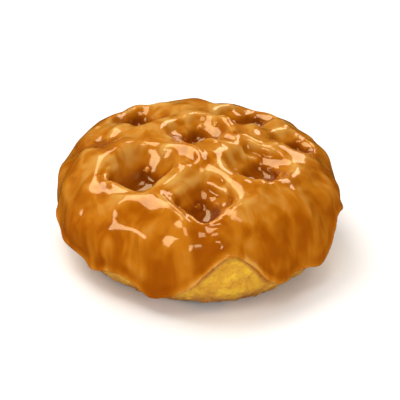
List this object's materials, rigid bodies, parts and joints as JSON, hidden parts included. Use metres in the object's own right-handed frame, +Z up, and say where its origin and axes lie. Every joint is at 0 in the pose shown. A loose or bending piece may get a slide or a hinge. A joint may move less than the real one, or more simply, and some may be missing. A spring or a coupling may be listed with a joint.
{
  "type": "caramel-coated liege waffle bite",
  "caption": "Small round thick waffle with a deep square grid, lying flat under a thick glossy caramel sauce that drips down its sides.",
  "frame": {"origin": "middle of the bounding box, on the surface that the waffle lies on", "axes": "+Z up through the grid's top face; X and Y along the grid's ridges"},
  "size_m": [0.0548, 0.0536, 0.0233],
  "materials": {
    "crumb": "baked yeast dough: matt golden yellow crumb with fine pores, browner on the crests and the foot",
    "caramel": "wet caramel sauce: very glossy amber, lighter where thin and deep reddish brown where it pools"
  },
  "bodies": {
    "root": {"waffle": "crumb", "caramel_sauce": "caramel"}
  },
  "joints": []
}
